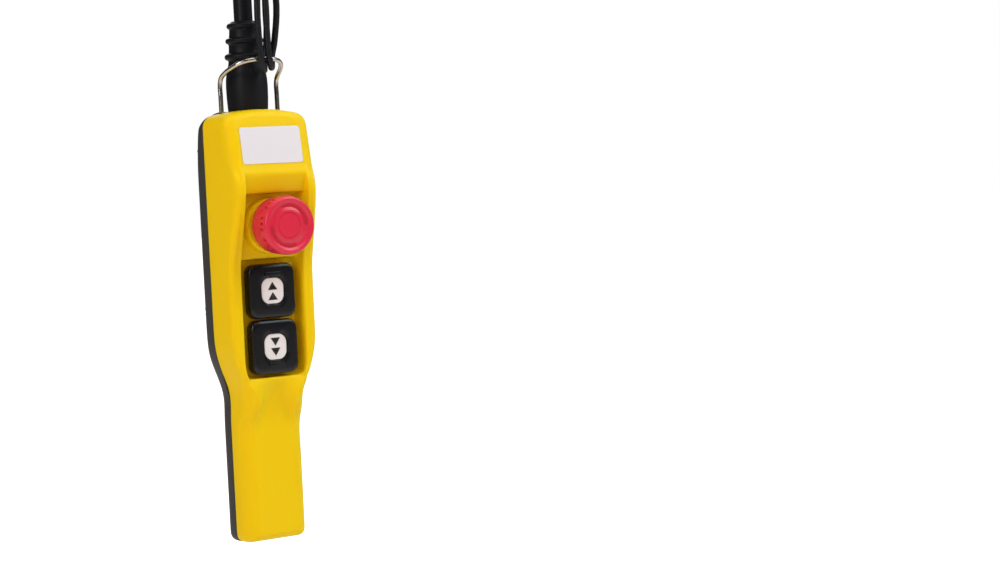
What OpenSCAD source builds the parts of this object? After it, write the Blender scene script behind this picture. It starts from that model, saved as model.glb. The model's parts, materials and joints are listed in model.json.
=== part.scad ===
// Pendant control station: a hand-held two-button hoist control with a
// mushroom stop button, hung from two cord slings on a wire bail.
// Housing coordinates: X across, Y front (minus) to back, Z up from the grip.
// hung() moves everything so that the hanging eye's bore is the origin.

/* [Housing] */
// overall height of the housing
body_h = 298; // [260:1:340]
// width across the head
body_w = 70; // [60:1:80]
// width of the hand grip
grip_w = 50; // [42:1:56]
// depth behind the parting plane
back_y = 15; // [12:0.5:20]
// wall thickness of both shells
wall = 2.6; // [2:0.1:4]
// height where the grip ends
grip_top = 98; // [80:1:110]
// height where the head begins
head_base = 137; // [120:1:145]

/* [Recess] */
// distance of the stop button's panel in front of the parting plane
panel_y = 20; // [16:0.5:24]
// distance of the key pocket's floor in front of the parting plane
floor_y = 12; // [9:0.5:14]
// half width of the recess
recess_x = 24.5; // [22:0.5:26]
// bottom of the key pocket
pocket_z0 = 114; // [108:1:120]
// top of the key pocket
pocket_z1 = 195.4; // [190:0.2:200]
// bottom edge of the hood
hood_z = 240; // [235:1:248]

/* [Label] */
// width of the label
label_w = 48; // [30:1:50]
// height of the label
label_h = 25.4; // [15:0.2:28]

/* [Controls] */
// height of the stop button's axis
stop_z = 218; // [210:1:225]
// radius of the mushroom head
stop_r = 20; // [15:0.5:22]
// height of the upper key's centre
up_z = 173.2; // [168:0.1:178]
// spacing of the two keys
key_pitch = 38.5; // [34:0.5:42]
// key width
key_w = 37; // [30:0.5:40]
// key height
key_h = 37.4; // [30:0.2:40]
// side of the square symbol plate
symbol_w = 16.7; // [12:0.1:20]

/* [Cable] */
// radius of the control cable
cable_r = 6.5; // [5:0.25:8]
// distance of the cable in front of the parting plane
cable_y = 4; // [0:0.5:8]
// top of the rubber boot
boot_top = 359; // [350:1:370]

/* [Suspension] */
// radius of the bail wire
bail_r = 1.6; // [1:0.1:2.5]
// half distance between the bail's legs
bail_x = 22.6; // [20:0.1:28]
// distance of the bail's legs in front of the parting plane
bail_y = 6; // [3:0.5:8]
// radius of the sling cord
sling_r = 2.25; // [1.5:0.05:3]
// height of the hanging eye's centre
eye_z = 444; // [430:1:480]
// bore radius of the hanging eye
eye_r = 5.25; // [4:0.25:8]

/* [Hidden] */
$fn = 64;
down_z = up_z - key_pitch;
half = body_w / 2;
grip_half = grip_w / 2;
crown_r = 16;
eye_x = 2.5;
eye_y = -29;
key_face = -24;
key_skirt = -16.5;
stem_r = 4;
stem_end = -3;
block_y0 = -6;
block_y1 = 7;
label_tilt = 8.3;
shell_screw_at = [[29.5, 270], [-29.5, 270], [30, 160], [-30, 160], [18, 14], [-18, 14]];
carrier_screw_at = [[20.5, 116], [-20.5, 116], [20.5, 192], [-20.5, 192]];
// front edge of the housing seen from the side: [distance to the front, height]
front_line = [
    [13.4, 0], [16, 1.5], [17, 5], [17.2, 92], [17.8, 100], [20, 106], [23.4, 111],
    [25, 117], [25.2, 186], [26.2, 194], [28.4, 204], [31.5, 216], [34.6, 228],
    [36.8, 238], [37.6, 246], [36.6, 251], [34.2, 256], [33.2, 260], [28.8, 290],
    [27.2, 294], [25, 297], [22, 298]
];
// half of the bail's centreline: [across, forward, height]
bail_line = [
    [22.6, 6, 284.5], [22.6, 6, 293], [22.6, 6, 300], [22.6, 6, 308], [22.6, 6, 316],
    [22.5, 7.6, 320], [21.8, 11.6, 323.2], [19.8, 17.4, 326.4], [15.5, 23.4, 329.6],
    [9.6, 27.2, 331.2], [3, 28.8, 331.8]
];
// sling centrelines from the terminal down, round the bail and up again
left_sling = [
    [0, 31.5, 428], [0, 31.5, 420], [0, 31.5, 413], [0, 31.5, 408], [-3, 32.2, 396], [-6, 32.9, 374],
    [-6, 32.9, 340], [-4.9, 32.8, 330], [-3, 31.2, 325.4], [-0.8, 29, 324], [0.6, 26.8, 325.4],
    [2.4, 24.8, 330], [4.4, 24.6, 340], [5.4, 25, 374], [3, 25.6, 396],
    [0, 26.5, 408], [0, 26.5, 413], [0, 26.5, 420], [0, 26.5, 428]
];
right_sling = [
    [5, 31.5, 428], [5, 31.5, 420], [5, 31.5, 413], [5, 31.5, 408], [2.6, 32.2, 396], [0.4, 32.9, 374],
    [0.4, 33.1, 344], [0.8, 33.3, 333], [2.8, 31.8, 327.4], [5.2, 28.6, 325.7], [7.8, 25.2, 327],
    [9.8, 22.4, 333], [12, 23.4, 344], [14, 25, 374], [9.8, 25.6, 396],
    [5, 26.5, 408], [5, 26.5, 413], [5, 26.5, 420], [5, 26.5, 428]
];

// ---------- placing and drawing helpers ----------

// moves the housing frame so that the hanging eye's bore is the origin
module hung() {
    translate([-eye_x, -eye_y, -eye_z])
        children();
}

// a solid drawn in the X-Z plane, from y = y1 forward by depth
module slab(y1, depth) {
    translate([0, y1, 0])
        rotate([90, 0, 0])
            linear_extrude(depth)
                children();
}

// a cylinder along Y from y0 to y1
module rod_y(x, y0, y1, z, r) {
    translate([x, y1, z])
        rotate([90, 0, 0])
            cylinder(h = y1 - y0, r = r);
}

// a revolved outline whose axis points to the front, starting at y
module turned_y(y, z) {
    translate([0, y, z])
        rotate([90, 0, 0])
            rotate_extrude()
                children();
}

// rectangle with round corners, centred
module round_rect(w, h, r) {
    square([w - 2 * r, h], center = true);
    square([w, h - 2 * r], center = true);
    for (sx = [-1, 1], sy = [-1, 1])
        translate([sx * (w / 2 - r), sy * (h / 2 - r)])
            circle(r);
}

// ---------- sweeps ----------

function unit(v) = v / norm(v);
function to_front(p) = [p[0], -p[1], p[2]];

// one point of a smooth curve through p, between points i and i + 1
function curve_at(p, i, t) =
    let (a = p[max(i - 1, 0)], b = p[i], c = p[i + 1], d = p[min(i + 2, len(p) - 1)])
    0.5 * (2 * b + (c - a) * t + (2 * a - 5 * b + 4 * c - d) * t * t
        + (3 * b - a - 3 * c + d) * t * t * t);

// the curve through p with n steps between neighbours
function curve(p, n) =
    concat([for (i = [0:len(p) - 2], k = [0:n - 1]) curve_at(p, i, k / n)], [p[len(p) - 1]]);

function heading(p, i) = unit(p[min(i + 1, len(p) - 1)] - p[max(i - 1, 0)]);

// the corners of one ring of a tube; side is a direction the path never takes
function ring(p, i, r, sides, side) =
    let (t = heading(p, i), u = unit(cross(side, t)), v = cross(t, u))
    [for (k = [0:sides - 1]) p[i] + r * (cos(360 * k / sides) * u + sin(360 * k / sides) * v)];

// a closed tube of radius r along the path p
module tube(p, r, sides, side) {
    n = len(p);
    points = [for (i = [0:n - 1]) each ring(p, i, r, sides, side)];
    walls = [
        for (i = [0:n - 2], k = [0:sides - 1])
            let (a = i * sides + k, b = i * sides + (k + 1) % sides)
            [a, a + sides, b + sides, b]
    ];
    start = [for (k = [0:sides - 1]) k];
    end = [for (k = [sides - 1:-1:0]) (n - 1) * sides + k];
    polyhedron(points, concat(walls, [start], [end]));
}

// a spring along Y from y0 to y1 about (0, z)
module spring(y0, y1, z, coil_r, wire_r, turns) {
    steps = 14;
    path = [
        for (i = [0:turns * steps])
            let (a = 360 * i / steps, f = i / (turns * steps))
            [coil_r * cos(a), y0 + wire_r + f * (y1 - y0 - 2 * wire_r), z + coil_r * sin(a)]
    ];
    tube(path, wire_r, 6, [0, 1, 0]);
}

// ---------- housing ----------

// what a round corner of radius r takes off a square one whose tip is at the origin
module corner_cut(r) {
    difference() {
        translate([-r, -r])
            square(r + 1);
        translate([-r, -r])
            circle(r);
    }
}

// outline of the housing from the front, drawn t inside the outer surface
module front_outline(t) {
    difference() {
        polygon([
            [-half + t, head_base], [-half + t, body_h - t], [half - t, body_h - t],
            [half - t, head_base], [grip_half - t, grip_top], [grip_half - t, t],
            [-grip_half + t, t], [-grip_half + t, grip_top]
        ]);
        for (s = [0, 1])
            mirror([s, 0]) {
                translate([half - t, body_h - t])
                    corner_cut(crown_r - t);
                translate([grip_half - t, t])
                    mirror([0, 1])
                        corner_cut(6 - t);
            }
    }
}

// the side view, pulled across the full width
module side_block(t) {
    front = [for (p = front_line) [-p[0] + t, min(max(p[1], t), body_h - t)]];
    translate([-half, 0, 0])
        rotate([90, 0, 90])
            linear_extrude(body_w)
                polygon(concat(front, [[back_y - t, body_h - t], [back_y - t, t]]));
}

// cross section of the head, with round rear corners
module head_section(t) {
    r = 6 - t;
    translate([0, (back_y - 38) / 2])
        round_rect(body_w - 2 * t, back_y + 38 - 2 * t, r);
}

// cross section of the grip
module grip_section(t) {
    r = 8 - t;
    translate([0, (back_y - 17.2) / 2])
        round_rect(grip_w - 2 * t, back_y + 17.2 - 2 * t, r);
}

// the closed outer body, drawn t inside the outer surface
module envelope(t) {
    intersection() {
        side_block(t);
        slab(back_y + 1, 60)
            front_outline(t);
        union() {
            translate([0, 0, head_base])
                linear_extrude(body_h - head_base)
                    head_section(t);
            hull() {
                translate([0, 0, head_base])
                    linear_extrude(0.01)
                        head_section(t);
                translate([0, 0, grip_top])
                    linear_extrude(0.01)
                        grip_section(t);
            }
            linear_extrude(grip_top + 0.01)
                grip_section(t);
        }
    }
}

// the space cut out of the front for the controls, grown by t
module recess(t) {
    intersection() {
        translate([-recess_x - t, 0, 0])
            rotate([90, 0, 90])
                linear_extrude(2 * (recess_x + t))
                    polygon([
                        [-panel_y + t, pocket_z0 - t], [-panel_y + t, hood_z + t],
                        [-31 + t, hood_z + t], [-35 + t, 253 + t], [-60, 274 + t],
                        [-60, pocket_z0 - t]
                    ]);
        slab(0, 80)
            translate([0, (pocket_z0 + 300) / 2])
                round_rect(2 * (recess_x + t), 300 - pocket_z0 + 2 * t, 6 + t);
    }
    slab(-floor_y + t, 60)
        translate([0, (pocket_z0 + pocket_z1) / 2])
            round_rect(2 * (recess_x + t), pocket_z1 - pocket_z0 + 2 * t, 6 + t);
}

// groove and gasket outline along the parting plane
module seal_line(a, b) {
    difference() {
        front_outline(a);
        front_outline(b);
    }
}

// solid features left standing inside the front shell
module front_bosses() {
    for (p = shell_screw_at)
        rod_y(p[0], -30, 1, p[1], 4.6);
    for (s = [-1, 1]) {
        translate([s * bail_x, -bail_y, 287.4])
            cylinder(h = 12, r = 4.2);
        translate([s * 24.5, -15, 287.4])
            cylinder(h = 12, r = 4);
    }
}

module front_shell() {
    color([0.96, 0.80, 0.06])
        hung()
            difference() {
                intersection() {
                    envelope(0);
                    translate([-50, -60, -1])
                        cube([100, 60, body_h + 2]);
                }
                recess(0);
                difference() {
                    envelope(wall);
                    recess(wall);
                    front_bosses();
                }
                // stop button and key stems
                rod_y(0, -30, -10, stop_z, 11.2);
                for (z = [up_z, down_z])
                    rod_y(0, -14, -8, z, 7);
                // inserts, bail, anchor screws, boot
                for (p = shell_screw_at)
                    rod_y(p[0], -9, 1, p[1], 3.02);
                for (s = [-1, 1]) {
                    translate([s * bail_x, -bail_y, 280])
                        cylinder(h = 30, r = bail_r + 0.08);
                    translate([s * 24.5, -15, 280])
                        cylinder(h = 15.5, r = 1.42);
                }
                translate([0, -cable_y, 295])
                    cylinder(h = 10, r = 12.05);
                // label seat
                translate([0, -31.1, 274.3])
                    rotate([label_tilt, 0, 0])
                        slab(0.4, 3)
                            round_rect(label_w + 0.3, label_h + 0.3, 2.1);
                slab(1, 1.6)
                    seal_line(0.75, 1.95);
            }
}

// solid features left standing inside the rear shell
module rear_bosses() {
    for (p = shell_screw_at)
        rod_y(p[0], -1, 14, p[1], 5.4);
    for (p = carrier_screw_at)
        rod_y(p[0], 9, 14, p[1], 3.6);
    translate([-16.5, 1.5, 271])
        cube([33, 12, 6]);
}

module rear_shell() {
    color([0.2, 0.2, 0.21])
        hung()
            difference() {
                intersection() {
                    envelope(0);
                    translate([-50, 0, -1])
                        cube([100, 60, body_h + 2]);
                }
                difference() {
                    envelope(wall);
                    rear_bosses();
                }
                for (p = shell_screw_at) {
                    rod_y(p[0], -1, 16, p[1], 2.1);
                    rod_y(p[0], 9, 16, p[1], 3.5);
                }
                for (p = carrier_screw_at)
                    rod_y(p[0], 8, 13.2, p[1], 1.42);
                for (s = [-1, 1])
                    rod_y(s * 12.5, 0, 8.5, 274, 1.42);
                translate([0, -cable_y, 260])
                    cylinder(h = 30, r = cable_r + 0.05);
                translate([0, -cable_y, 295])
                    cylinder(h = 10, r = 12.05);
                slab(0.6, 1.6)
                    seal_line(0.75, 1.95);
            }
}

module shell_gasket() {
    color([0.08, 0.08, 0.08])
        hung()
            difference() {
                slab(0.58, 1.16)
                    seal_line(0.8, 1.9);
                translate([0, -cable_y, 290])
                    cylinder(h = 20, r = 12.1);
            }
}

module threaded_inserts() {
    color([0.8, 0.62, 0.25])
        hung()
            for (p = shell_screw_at)
                difference() {
                    rod_y(p[0], -8.9, -0.7, p[1], 3);
                    rod_y(p[0], -10, 0, p[1], 2);
                }
}

module shell_screws() {
    color([0.7, 0.7, 0.72])
        hung()
            for (p = shell_screw_at)
                difference() {
                    union() {
                        rod_y(p[0], -8, 9, p[1], 1.95);
                        rod_y(p[0], 9, 11.5, p[1], 3.2);
                    }
                    slab(11.7, 1.6)
                        translate(p)
                            circle(1.9, $fn = 6);
                }
}

module label_plate() {
    color([0.93, 0.93, 0.95])
        hung()
            translate([0, -31.1, 274.3])
                rotate([label_tilt, 0, 0])
                    slab(0.4, 0.8)
                        round_rect(label_w, label_h, 2);
}

// ---------- bail, boot, cable entry ----------

module suspension_bail() {
    right = [for (p = bail_line) to_front(p)];
    left = [for (i = [len(right) - 1:-1:0]) [-right[i][0], right[i][1], right[i][2]]];
    color([0.75, 0.73, 0.70])
        hung() {
            tube(curve(concat(right, left), 4), bail_r, 12, [0, 1, 0]);
            for (s = [-1, 1])
                translate([s * bail_x, -bail_y, 283])
                    cylinder(h = 2, r = 2.8);
        }
}

module bail_anchor_plates() {
    color([0.6, 0.6, 0.62])
        hung()
            for (s = [-1, 1])
                difference() {
                    translate([s * 24.3 - 5.2, -20, 285])
                        cube([10.4, 19.2, 2.4]);
                    translate([s * bail_x, -bail_y, 280])
                        cylinder(h = 10, r = bail_r + 0.08);
                    translate([s * 24.5, -15, 280])
                        cylinder(h = 10, r = 1.6);
                }
}

module bail_anchor_screws() {
    color([0.7, 0.7, 0.72])
        hung()
            for (s = [-1, 1])
                translate([s * 24.5, -15, 0])
                    difference() {
                        union() {
                            translate([0, 0, 285])
                                cylinder(h = 10, r = 1.4);
                            translate([0, 0, 283])
                                cylinder(h = 2, r = 2.75);
                        }
                        translate([0, 0, 282])
                            cylinder(h = 2.2, r = 1.3, $fn = 6);
                    }
}

// the boot's outer outline: base, flare, three strain-relief rings
boot_line = [
    [15, 289], [15, 295.4], [12, 295.4], [12, 298], [14, 298], [14.3, 301],
    [14.4, 316], [14.1, 320], [13.5, 323.5], [12.4, 327.5], [11.7, 330.5], [11.5, 332.2],
    [13.6, 332.8], [14.3, 334.6], [13.6, 336.4], [11.1, 337], [10.9, 343.4],
    [12.5, 343.9], [13.2, 345.5], [12.5, 347.1], [10.4, 347.6], [10, 353.8],
    [11.3, 354.2], [11.9, 355.8], [11.3, 357.3], [9.6, 357.8], [8.8, boot_top]
];

module cable_boot() {
    color([0.05, 0.05, 0.06])
        hung()
            translate([0, -cable_y, 0])
                rotate_extrude()
                    polygon(concat([[cable_r + 0.05, 289]], boot_line, [[cable_r + 0.05, boot_top]]));
}

module cable_tail() {
    color([0.07, 0.07, 0.08])
        hung()
            translate([0, -cable_y, 268])
                cylinder(h = 69, r = cable_r);
}

module control_cable() {
    path = [for (i = [0:6]) [0, -cable_y, 337 + i * 14.8]];
    color([0.07, 0.07, 0.08])
        hung()
            tube(path, cable_r, 12, [1, 0, 0]);
}

module cable_clamp() {
    color([0.55, 0.55, 0.57])
        hung()
            difference() {
                union() {
                    translate([-16.5, -2, 271])
                        cube([33, 3.5, 6]);
                    intersection() {
                        translate([0, -cable_y, 271])
                            cylinder(h = 6, r = cable_r + 2.4);
                        translate([-20, -20, 271])
                            cube([40, 21, 6]);
                    }
                }
                translate([0, -cable_y, 260])
                    cylinder(h = 30, r = cable_r + 0.05);
                for (s = [-1, 1])
                    rod_y(s * 12.5, -5, 3, 274, 1.6);
            }
}

module cable_clamp_screws() {
    color([0.7, 0.7, 0.72])
        hung()
            for (s = [-1, 1])
                difference() {
                    union() {
                        rod_y(s * 12.5, -2, 8, 274, 1.4);
                        rod_y(s * 12.5, -4, -2, 274, 2.75);
                    }
                    slab(-2.8, 3)
                        translate([s * 12.5, 274])
                            circle(1.3, $fn = 6);
                }
}

// a core's route from the cable's end, out to the side and down to a contact strip
function core_route(s, y, bend_z, end_z) = [
    [s * 3, y, 268], [s * 3.4, y, bend_z + 2], [s * 7, y, bend_z - 1],
    [s * 18, y + 0.4, bend_z - 2], [s * 22, y + 0.8, bend_z - 6], [s * 22.6, y + 1, bend_z - 14],
    [s * 22.6, y + 1, (bend_z + end_z) / 2], [s * 22.6, y + 1, end_z + 12],
    [s * 22.2, -1.4, end_z + 3], [s * 20.6, -0.6, end_z + 0.3], [s * 18.6, -0.1, end_z]
];

module core_wires() {
    color([0.2, 0.3, 0.7])
        hung()
            for (s = [-1, 1]) {
                upper = core_route(s, -2, 262, up_z);
                lower = core_route(s, -6, 254, down_z);
                tube(curve(upper, 3), 0.9, 8, [0, 1, 0]);
                tube(curve(lower, 3), 0.9, 8, [0, 1, 0]);
            }
}

// ---------- contacts ----------

module contact_carrier() {
    color([0.75, 0.72, 0.60])
        hung()
            difference() {
                slab(9, 2)
                    translate([0, 154])
                        round_rect(48, 84, 3);
                for (p = carrier_screw_at)
                    rod_y(p[0], 6, 10, p[1], 1.6);
            }
}

module carrier_screws() {
    color([0.7, 0.7, 0.72])
        hung()
            for (p = carrier_screw_at)
                difference() {
                    union() {
                        rod_y(p[0], 7, 13, p[1], 1.4);
                        rod_y(p[0], 5, 7, p[1], 2.75);
                    }
                    slab(6.2, 3)
                        translate(p)
                            circle(1.3, $fn = 6);
                }
}

module contact_block(z) {
    hung()
        difference() {
            translate([-14, block_y0, z - 15])
                cube([28, block_y1 - block_y0, 30]);
            rod_y(0, block_y0 - 1, 5, z, 5);
            // slots for the bridge and the two contact strips
            translate([-9, block_y0 - 1, z - 2.3])
                cube([18, 6.5, 4.6]);
            for (s = [-1, 1])
                translate([s * 9.5 - 5.5, -0.7, z - 2.02])
                    cube([11, 1.02, 4.04]);
            // fluted sides
            for (s = [-1, 1], k = [-10, 10])
                translate([s * 14 - 1, block_y0 - 1, z + k - 2])
                    cube([2, 20, 4]);
        }
}

module fixed_contacts() {
    color([0.85, 0.65, 0.3])
        hung() {
            for (z = [up_z, down_z], s = [-1, 1])
                difference() {
                    translate([s * 12 - 6.5, -0.5, z - 2])
                        cube([13, 0.8, 4]);
                    rod_y(s * 16.2, -2, 2, z, 1.1);
                }
            for (s = [-1, 1])
                difference() {
                    translate([s * 13 - 5, 2, stop_z - 2])
                        cube([10, 0.8, 4]);
                    rod_y(s * 16.2, 0, 4, stop_z, 1.1);
                }
        }
}

module terminal_screws() {
    color([0.75, 0.75, 0.77])
        hung() {
            for (z = [up_z, down_z], s = [-1, 1]) {
                rod_y(s * 16.2, -2.1, -0.5, z, 1.9);
                rod_y(s * 16.2, -0.5, 2.4, z, 1.05);
            }
            for (s = [-1, 1]) {
                rod_y(s * 16.2, 0.4, 2, stop_z, 1.9);
                rod_y(s * 16.2, 2, 4.8, stop_z, 1.05);
            }
        }
}

// ---------- stop button ----------

module estop_collar() {
    color([0.96, 0.80, 0.06])
        hung()
            turned_y(-panel_y, stop_z)
                polygon([
                    [11.2, 0], [19.2, 0], [19.1, 3.4], [18.7, 5.4], [17.8, 6],
                    [11.2, 6]
                ]);
}

module estop_barrel() {
    color([0.1, 0.1, 0.1])
        hung()
            turned_y(-2, stop_z)
                polygon([
                    [6.05, 0], [11.1, 0], [11.1, 24], [13.4, 24], [13.4, 25.2],
                    [12.8, 25.8], [6.05, 25.8]
                ]);
}

module estop_seal() {
    color([0.06, 0.06, 0.06])
        hung()
            turned_y(-panel_y + wall + 1, stop_z)
                polygon([[11.2, 0], [15, 0], [15, 1], [11.2, 1]]);
}

module estop_lock_nut() {
    color([0.55, 0.55, 0.57])
        hung()
            difference() {
                turned_y(-panel_y + wall + 6, stop_z)
                    polygon([[11.12, 0], [15, 0], [15, 5], [11.12, 5]]);
                for (a = [0:60:300])
                    translate([0, 0, stop_z])
                        rotate([0, a, 0])
                            translate([13.6, -12.8, -1.2])
                                cube([3, 2.2, 2.4]);
            }
}

module estop_contact_block() {
    color([0.82, 0.2, 0.15])
        hung()
            difference() {
                translate([-14, -2, stop_z - 14])
                    cube([28, 12.4, 28]);
                rod_y(0, -3, 7, stop_z, 7);
                for (s = [-1, 1])
                    translate([s * 13 - 5.05, 1.98, stop_z - 2.02])
                        cube([10.1, 0.84, 4.04]);
                for (s = [-1, 1], k = [-9, 9])
                    translate([s * 14 - 1, -3, stop_z + k - 2])
                        cube([2, 20, 4]);
            }
}

module estop_spring() {
    color([0.7, 0.7, 0.7])
        hung()
            spring(-4, 7, stop_z, 4.4, 0.5, 5);
}

module estop_plunger() {
    color([0.15, 0.15, 0.15])
        hung()
            turned_y(-4, stop_z)
                polygon([[0, 0], [6, 0], [6, 40], [5.4, 41], [0, 41]]);
}

// mushroom head, measured forward from its rear edge
module estop_head() {
    color([0.85, 0.12, 0.15])
        hung()
            difference() {
                turned_y(-31, stop_z)
                    polygon([
                        [6.05, 14.3], [6.05, 6.5], [15.5, 6.5], [15.5, 0], [18, 0],
                        [19, 0.8], [19.4, 4], [stop_r - 0.2, 10], [stop_r, 12],
                        [stop_r, 17.2], [stop_r - 0.5, 18.7], [stop_r - 1.6, 19.3],
                        [stop_r - 3.2, 19.3], [stop_r - 4.4, 18], [8.6, 18],
                        [8.4, 18.7], [0, 18.7], [0, 14.3]
                    ]);
                for (a = [0:10:350])
                    translate([0, -31, stop_z])
                        rotate([0, a, 0])
                            translate([stop_r + 0.5, -9, 0])
                                rotate([90, 0, 0])
                                    cylinder(h = 8, r = 1, $fn = 16);
            }
}

// two curved arrows on the head's face
module estop_arrows() {
    color([0.85, 0.12, 0.15])
        hung()
            translate([0, -49, stop_z])
                rotate([90, 0, 0])
                    for (a = [20, 200])
                        rotate([0, 0, a]) {
                            rotate_extrude(angle = 95)
                                translate([10.6, 0])
                                    square([1.8, 0.5]);
                            linear_extrude(0.5)
                                polygon([[9, 0.1], [14, 0.1], [11.3, -4.2]]);
                        }
}

// ---------- keys ----------

module key_cap(z, bar_z, bar_h) {
    hung()
        difference() {
            union() {
                translate([0, 0, z])
                    slab(key_skirt, -key_face + key_skirt - 1.4)
                        round_rect(key_w, key_h, 6);
                translate([0, 0, z])
                    slab(key_skirt, -key_face + key_skirt - 0.5)
                        round_rect(key_w - 1.4, key_h - 1.4, 5.4);
                translate([0, 0, z])
                    slab(key_skirt, -key_face + key_skirt)
                        round_rect(key_w - 3.6, key_h - 3.6, 4.4);
                translate([-6, key_face - 0.6, bar_z - bar_h / 2])
                    cube([12, 2, bar_h]);
            }
            translate([0, 0, z])
                slab(key_skirt + 1, 4.9 + 1.6)
                    round_rect(key_w - 4, key_h - 4, 4);
            translate([0, 0, z])
                slab(key_face + 1.3, 3)
                    round_rect(symbol_w + 2.1, symbol_w + 2.1, 3.6);
        }
}

module key_symbol_plate(z) {
    hung()
        translate([0, 0, z])
            slab(key_face + 1.3, 0.5)
                round_rect(symbol_w, symbol_w, 2.6);
}

// two triangles, one above the other; way is 1 for up and -1 for down
module key_arrows(z, way) {
    hung()
        for (k = [-1, 1])
            translate([0, 0, z + k * 3.55])
                slab(key_face + 0.8, 0.15)
                    polygon([[-3.6, -way * 2.9], [3.6, -way * 2.9], [0, way * 2.9]]);
}

module key_lens(z) {
    hung()
        translate([0, 0, z])
            difference() {
                slab(key_face + 1.3, 1.8)
                    round_rect(symbol_w + 2, symbol_w + 2, 3.5);
                slab(key_face + 1.4, 0.76)
                    round_rect(symbol_w + 0.1, symbol_w + 0.1, 2.65);
            }
}

module key_stem(z) {
    hung()
        difference() {
            union() {
                rod_y(0, -22, stem_end, z, stem_r);
                rod_y(0, -22, -19.5, z, 7);
            }
            translate([-5, -5, z - 1.8])
                cube([10, 0.8, 3.6]);
        }
}

module key_bridge(z) {
    hung()
        translate([-8, -5, z - 1.8])
            cube([16, 0.8, 3.6]);
}

module key_spring(z) {
    hung()
        spring(stem_end, 5, z, 3.1, 0.4, 5);
}

module key_stem_seal(z) {
    hung()
        turned_y(-8.7, z)
            polygon([
                [4.05, 0], [9, 0], [9, 0.7], [7, 0.7], [7, 3.3], [9, 3.3],
                [9, 3.9], [4.05, 3.9]
            ]);
}

module up_key_cap() {
    color([0.07, 0.07, 0.09])
        key_cap(up_z, up_z + 11.4, 2.6);
}

module up_symbol_plate() {
    color([0.96, 0.96, 0.97])
        key_symbol_plate(up_z);
}

module up_arrows() {
    color([0.03, 0.03, 0.03])
        key_arrows(up_z, 1);
}

module up_lens() {
    color([0.9, 0.95, 1, 0.4])
        key_lens(up_z);
}

module up_stem() {
    color([0.85, 0.85, 0.82])
        key_stem(up_z);
}

module up_bridge() {
    color([0.85, 0.6, 0.3])
        key_bridge(up_z);
}

module up_spring() {
    color([0.7, 0.7, 0.7])
        key_spring(up_z);
}

module up_stem_seal() {
    color([0.06, 0.06, 0.06])
        key_stem_seal(up_z);
}

module up_contact_block() {
    color([0.15, 0.15, 0.16])
        contact_block(up_z);
}

module down_key_cap() {
    color([0.07, 0.07, 0.09])
        key_cap(down_z, down_z - 12, 2);
}

module down_symbol_plate() {
    color([0.96, 0.96, 0.97])
        key_symbol_plate(down_z);
}

module down_arrows() {
    color([0.03, 0.03, 0.03])
        key_arrows(down_z, -1);
}

module down_lens() {
    color([0.9, 0.95, 1, 0.4])
        key_lens(down_z);
}

module down_stem() {
    color([0.85, 0.85, 0.82])
        key_stem(down_z);
}

module down_bridge() {
    color([0.85, 0.6, 0.3])
        key_bridge(down_z);
}

module down_spring() {
    color([0.7, 0.7, 0.7])
        key_spring(down_z);
}

module down_stem_seal() {
    color([0.06, 0.06, 0.06])
        key_stem_seal(down_z);
}

module down_contact_block() {
    color([0.15, 0.15, 0.16])
        contact_block(down_z);
}

// ---------- slings, hanging eye, cable connector ----------

module eye_terminal() {
    color([0.65, 0.65, 0.68])
        hung()
            difference() {
                union() {
                    translate([eye_x, eye_y, 414])
                        cylinder(h = 18, r = 8);
                    translate([eye_x - 6, eye_y - 3, 431])
                        cube([12, 6, 6]);
                    rod_y(eye_x, eye_y - 3, eye_y + 3, eye_z, 10);
                }
                rod_y(eye_x, eye_y - 4, eye_y + 4, eye_z, eye_r);
                for (sx = [-1, 1], sy = [-1, 1])
                    translate([eye_x + sx * 2.5, eye_y + sy * 2.5, 410])
                        cylinder(h = 18, r = sling_r + 0.05);
            }
}

module eye_ferrule() {
    color([0.75, 0.73, 0.70])
        hung()
            translate([eye_x, eye_y, 416])
                difference() {
                    cylinder(h = 11, r = 9);
                    translate([0, 0, -1])
                        cylinder(h = 13, r = 8);
                }
}

module left_sling_cord() {
    color([0.04, 0.04, 0.04])
        hung()
            tube(curve([for (p = left_sling) to_front(p)], 4), sling_r, 10, [1, 0.3, 0]);
}

module right_sling_cord() {
    color([0.04, 0.04, 0.04])
        hung()
            tube(curve([for (p = right_sling) to_front(p)], 4), sling_r, 10, [1, 0.3, 0]);
}

module connector_clamp_nut() {
    color([0.3, 0.3, 0.32])
        hung()
            translate([0, -cable_y, 412])
                difference() {
                    cylinder(h = 12, r = 11);
                    translate([0, 0, -1])
                        cylinder(h = 14, r = cable_r + 0.05);
                    for (a = [0:30:330])
                        rotate([0, 0, a])
                            translate([11.6, 0, -1])
                                cylinder(h = 9, r = 1.2, $fn = 16);
                }
}

module connector_shell() {
    color([0.7, 0.7, 0.72])
        hung()
            translate([0, -cable_y, 0])
                rotate_extrude()
                    polygon([
                        [cable_r + 0.05, 424], [12, 424], [12.4, 425], [12.4, 444],
                        [12, 445], [10, 446], [10, 460], [7.6, 460], [7.6, 427],
                        [cable_r + 0.05, 427]
                    ]);
}

module connector_insert() {
    color([0.12, 0.12, 0.12])
        hung()
            translate([0, -cable_y, 427])
                difference() {
                    cylinder(h = 32, r = 7.55);
                    for (a = [0:60:300])
                        rotate([0, 0, a])
                            translate([4.6, 0, 20])
                                cylinder(h = 13, r = 1.05);
                }
}

module connector_contacts() {
    color([0.85, 0.68, 0.3])
        hung()
            translate([0, -cable_y, 447])
                for (a = [0:60:300])
                    rotate([0, 0, a])
                        translate([4.6, 0, 0])
                            cylinder(h = 11.6, r = 1);
}

// ---------- one line for each piece ----------

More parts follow.
